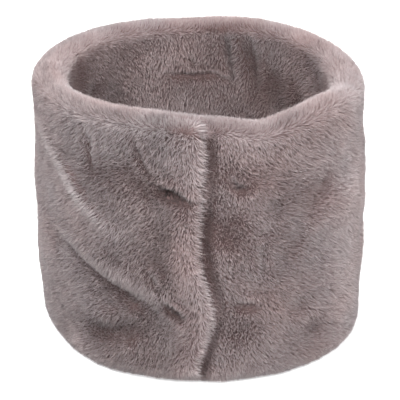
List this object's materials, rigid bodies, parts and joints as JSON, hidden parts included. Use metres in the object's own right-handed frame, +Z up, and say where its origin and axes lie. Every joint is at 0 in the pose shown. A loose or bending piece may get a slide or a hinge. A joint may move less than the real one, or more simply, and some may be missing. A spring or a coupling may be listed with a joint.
{
  "type": "hand warmer muff",
  "caption": "Short wide tube of double-sided short-pile faux fur, open right through for the hands, with full rounded rims and a lapped front seam whose edge lifts.",
  "frame": {"origin": "centre of the flat ring that the hem rests on", "axes": "+Z up along the tube's axis, -Y the front where the lap is, +X to the right seen from the front"},
  "size_m": [0.23, 0.23, 0.19],
  "materials": {
    "outer_fur": "short dense faux fur, mauve grey, pile about 10 mm",
    "lining_fur": "the same faux fur, pile lying up and down inside",
    "lap_fur": "the same faux fur, combed over the lap's edge",
    "knit_backing": "matt warp-knit backing",
    "wadding": "soft white polyester wadding",
    "woven_tape": "narrow woven cotton tape",
    "thread": "matching polyester sewing thread",
    "hand_thread": "matching thread, sewn by hand"
  },
  "bodies": {
    "muff": {"outer_fur_panel": "outer_fur", "inner_fur_lining": "lining_fur", "wadding_layer": "wadding", "seam_stay_tape": "woven_tape", "closing_seam_stitching": "thread", "lining_seam_stitching": "thread", "turning_gap_stitches": "hand_thread", "top_rim_stitching": "thread", "bottom_rim_stitching": "thread"},
    "lap": {"lap_lip_fur": "lap_fur", "lap_lip_facing": "knit_backing", "lip_edge_stitching": "thread"}
  },
  "joints": [
    {"name": "lap_lift", "type": "hinge", "parent": "muff", "child": "lap", "pos_m": [-0.02234, -0.11281, 0.095], "axis": [0, 0, -1], "range_deg": [0, 55], "stiffness_Nm_per_rad": 0.004}
  ]
}
